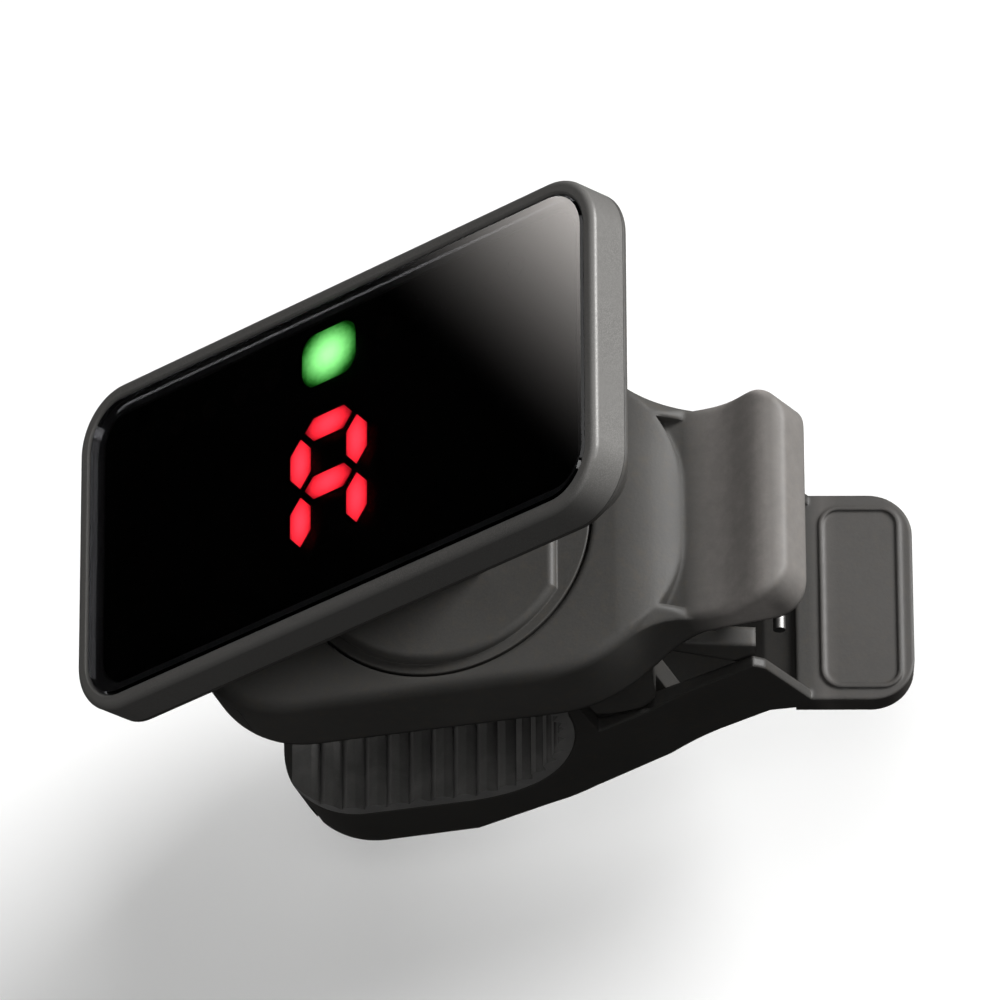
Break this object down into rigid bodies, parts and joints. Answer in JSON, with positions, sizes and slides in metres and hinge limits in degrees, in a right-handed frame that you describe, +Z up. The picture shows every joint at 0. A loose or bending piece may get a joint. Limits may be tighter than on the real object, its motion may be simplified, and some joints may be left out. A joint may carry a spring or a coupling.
{
  "type": "clip-on tuner",
  "caption": "Clip-on instrument tuner: sprung clamp with serrated rubber pads, round swivel base and a tilting rectangular display head showing a lit note.",
  "frame": {"origin": "centre of the gripping face of the upper pad, on the swivel axis of the head", "axes": "+Z up along the swivel axis, away from what is gripped; +X from the jaw tips to the finger tabs; Y along the gripped edge"},
  "size_m": [0.0529, 0.0242, 0.0542],
  "materials": {
    "jaw_shell": "fine moulded texture",
    "swivel_shell": "fine moulded texture",
    "lever_shell": "fine moulded texture",
    "drawer_shell": "fine moulded texture",
    "grip_rubber": "soft matt",
    "pad_rubber": "soft matt",
    "head_frame": "satin metallic",
    "head_back": "fine moulded texture",
    "window_black": "polished smoked window",
    "mask_black": "matt",
    "lit_red": "lit",
    "lit_green": "lit",
    "unlit_lamp": "unlit",
    "led_white": "moulded",
    "circuit_board": "solder mask",
    "chip_black": "moulded",
    "switch_metal": "stamped",
    "button_plastic": "satin",
    "pin_steel": "turned",
    "spring_steel": "drawn wire",
    "screw_black": "blackened",
    "cell_nickel": "nickel plated",
    "contact_brass": "stamped",
    "pickup_brass": "thin sheet",
    "washer_nylon": "natural"
  },
  "bodies": {
    "upper_jaw": {"upper_housing": "jaw_shell", "jaw_floor": "jaw_shell", "floor_screws": "screw_black", "upper_pad": "pad_rubber", "piezo_disc": "pickup_brass", "cell_contact_plus": "contact_brass", "cell_contact_minus": "contact_brass", "contact_board": "circuit_board", "swivel_washer": "washer_nylon", "pivot_pin": "pin_steel", "torsion_spring": "spring_steel"},
    "battery_drawer": {"battery_tray": "drawer_shell", "coin_cell": "cell_nickel"},
    "swivel": {"swivel_disc": "swivel_shell", "tilt_pin": "pin_steel", "tilt_clip": "pin_steel", "tilt_washers": "washer_nylon"},
    "head": {"head_rear_cover": "head_back", "head_bezel": "head_frame", "display_window": "window_black", "light_mask": "mask_black", "note_segments": "lit_red", "in_tune_lamp": "lit_green", "meter_lamps": "unlit_lamp", "led_chips": "led_white", "led_board": "circuit_board", "tuner_chip": "chip_black", "tact_switch": "switch_metal", "head_screws": "screw_black"},
    "power_button": {"power_button": "button_plastic"},
    "lower_jaw": {"lower_jaw": "lever_shell", "lower_pad": "grip_rubber"}
  },
  "joints": [
    {"name": "jaw_hinge", "type": "hinge", "parent": "upper_jaw", "child": "lower_jaw", "pos_m": [0.0082, 0, -0.0047], "axis": [0, -1, 0], "range_deg": [-28.5, 20], "stiffness_Nm_per_rad": 0.2, "springref_deg": -60.16, "deforming": ["torsion_spring"]},
    {"name": "head_swivel", "type": "hinge", "parent": "upper_jaw", "child": "swivel", "pos_m": [0, 0, 0.0065], "axis": [0, 0, 1], "range_deg": [-90, 90]},
    {"name": "head_tilt", "type": "hinge", "parent": "swivel", "child": "head", "pos_m": [0.0017, 0, 0.0127], "axis": [0, -1, 0], "range_deg": [-50, 0]},
    {"name": "power_press", "type": "slide", "parent": "head", "child": "power_button", "axis": [-0.4894, 0, 0.8721], "range_m": [0, 0.0003], "stiffness_N_per_m": 400, "springref_m": -0.001},
    {"name": "battery_slide", "type": "slide", "parent": "upper_jaw", "child": "battery_drawer", "axis": [-1, 0, 0], "range_m": [0, 0.0175]}
  ]
}
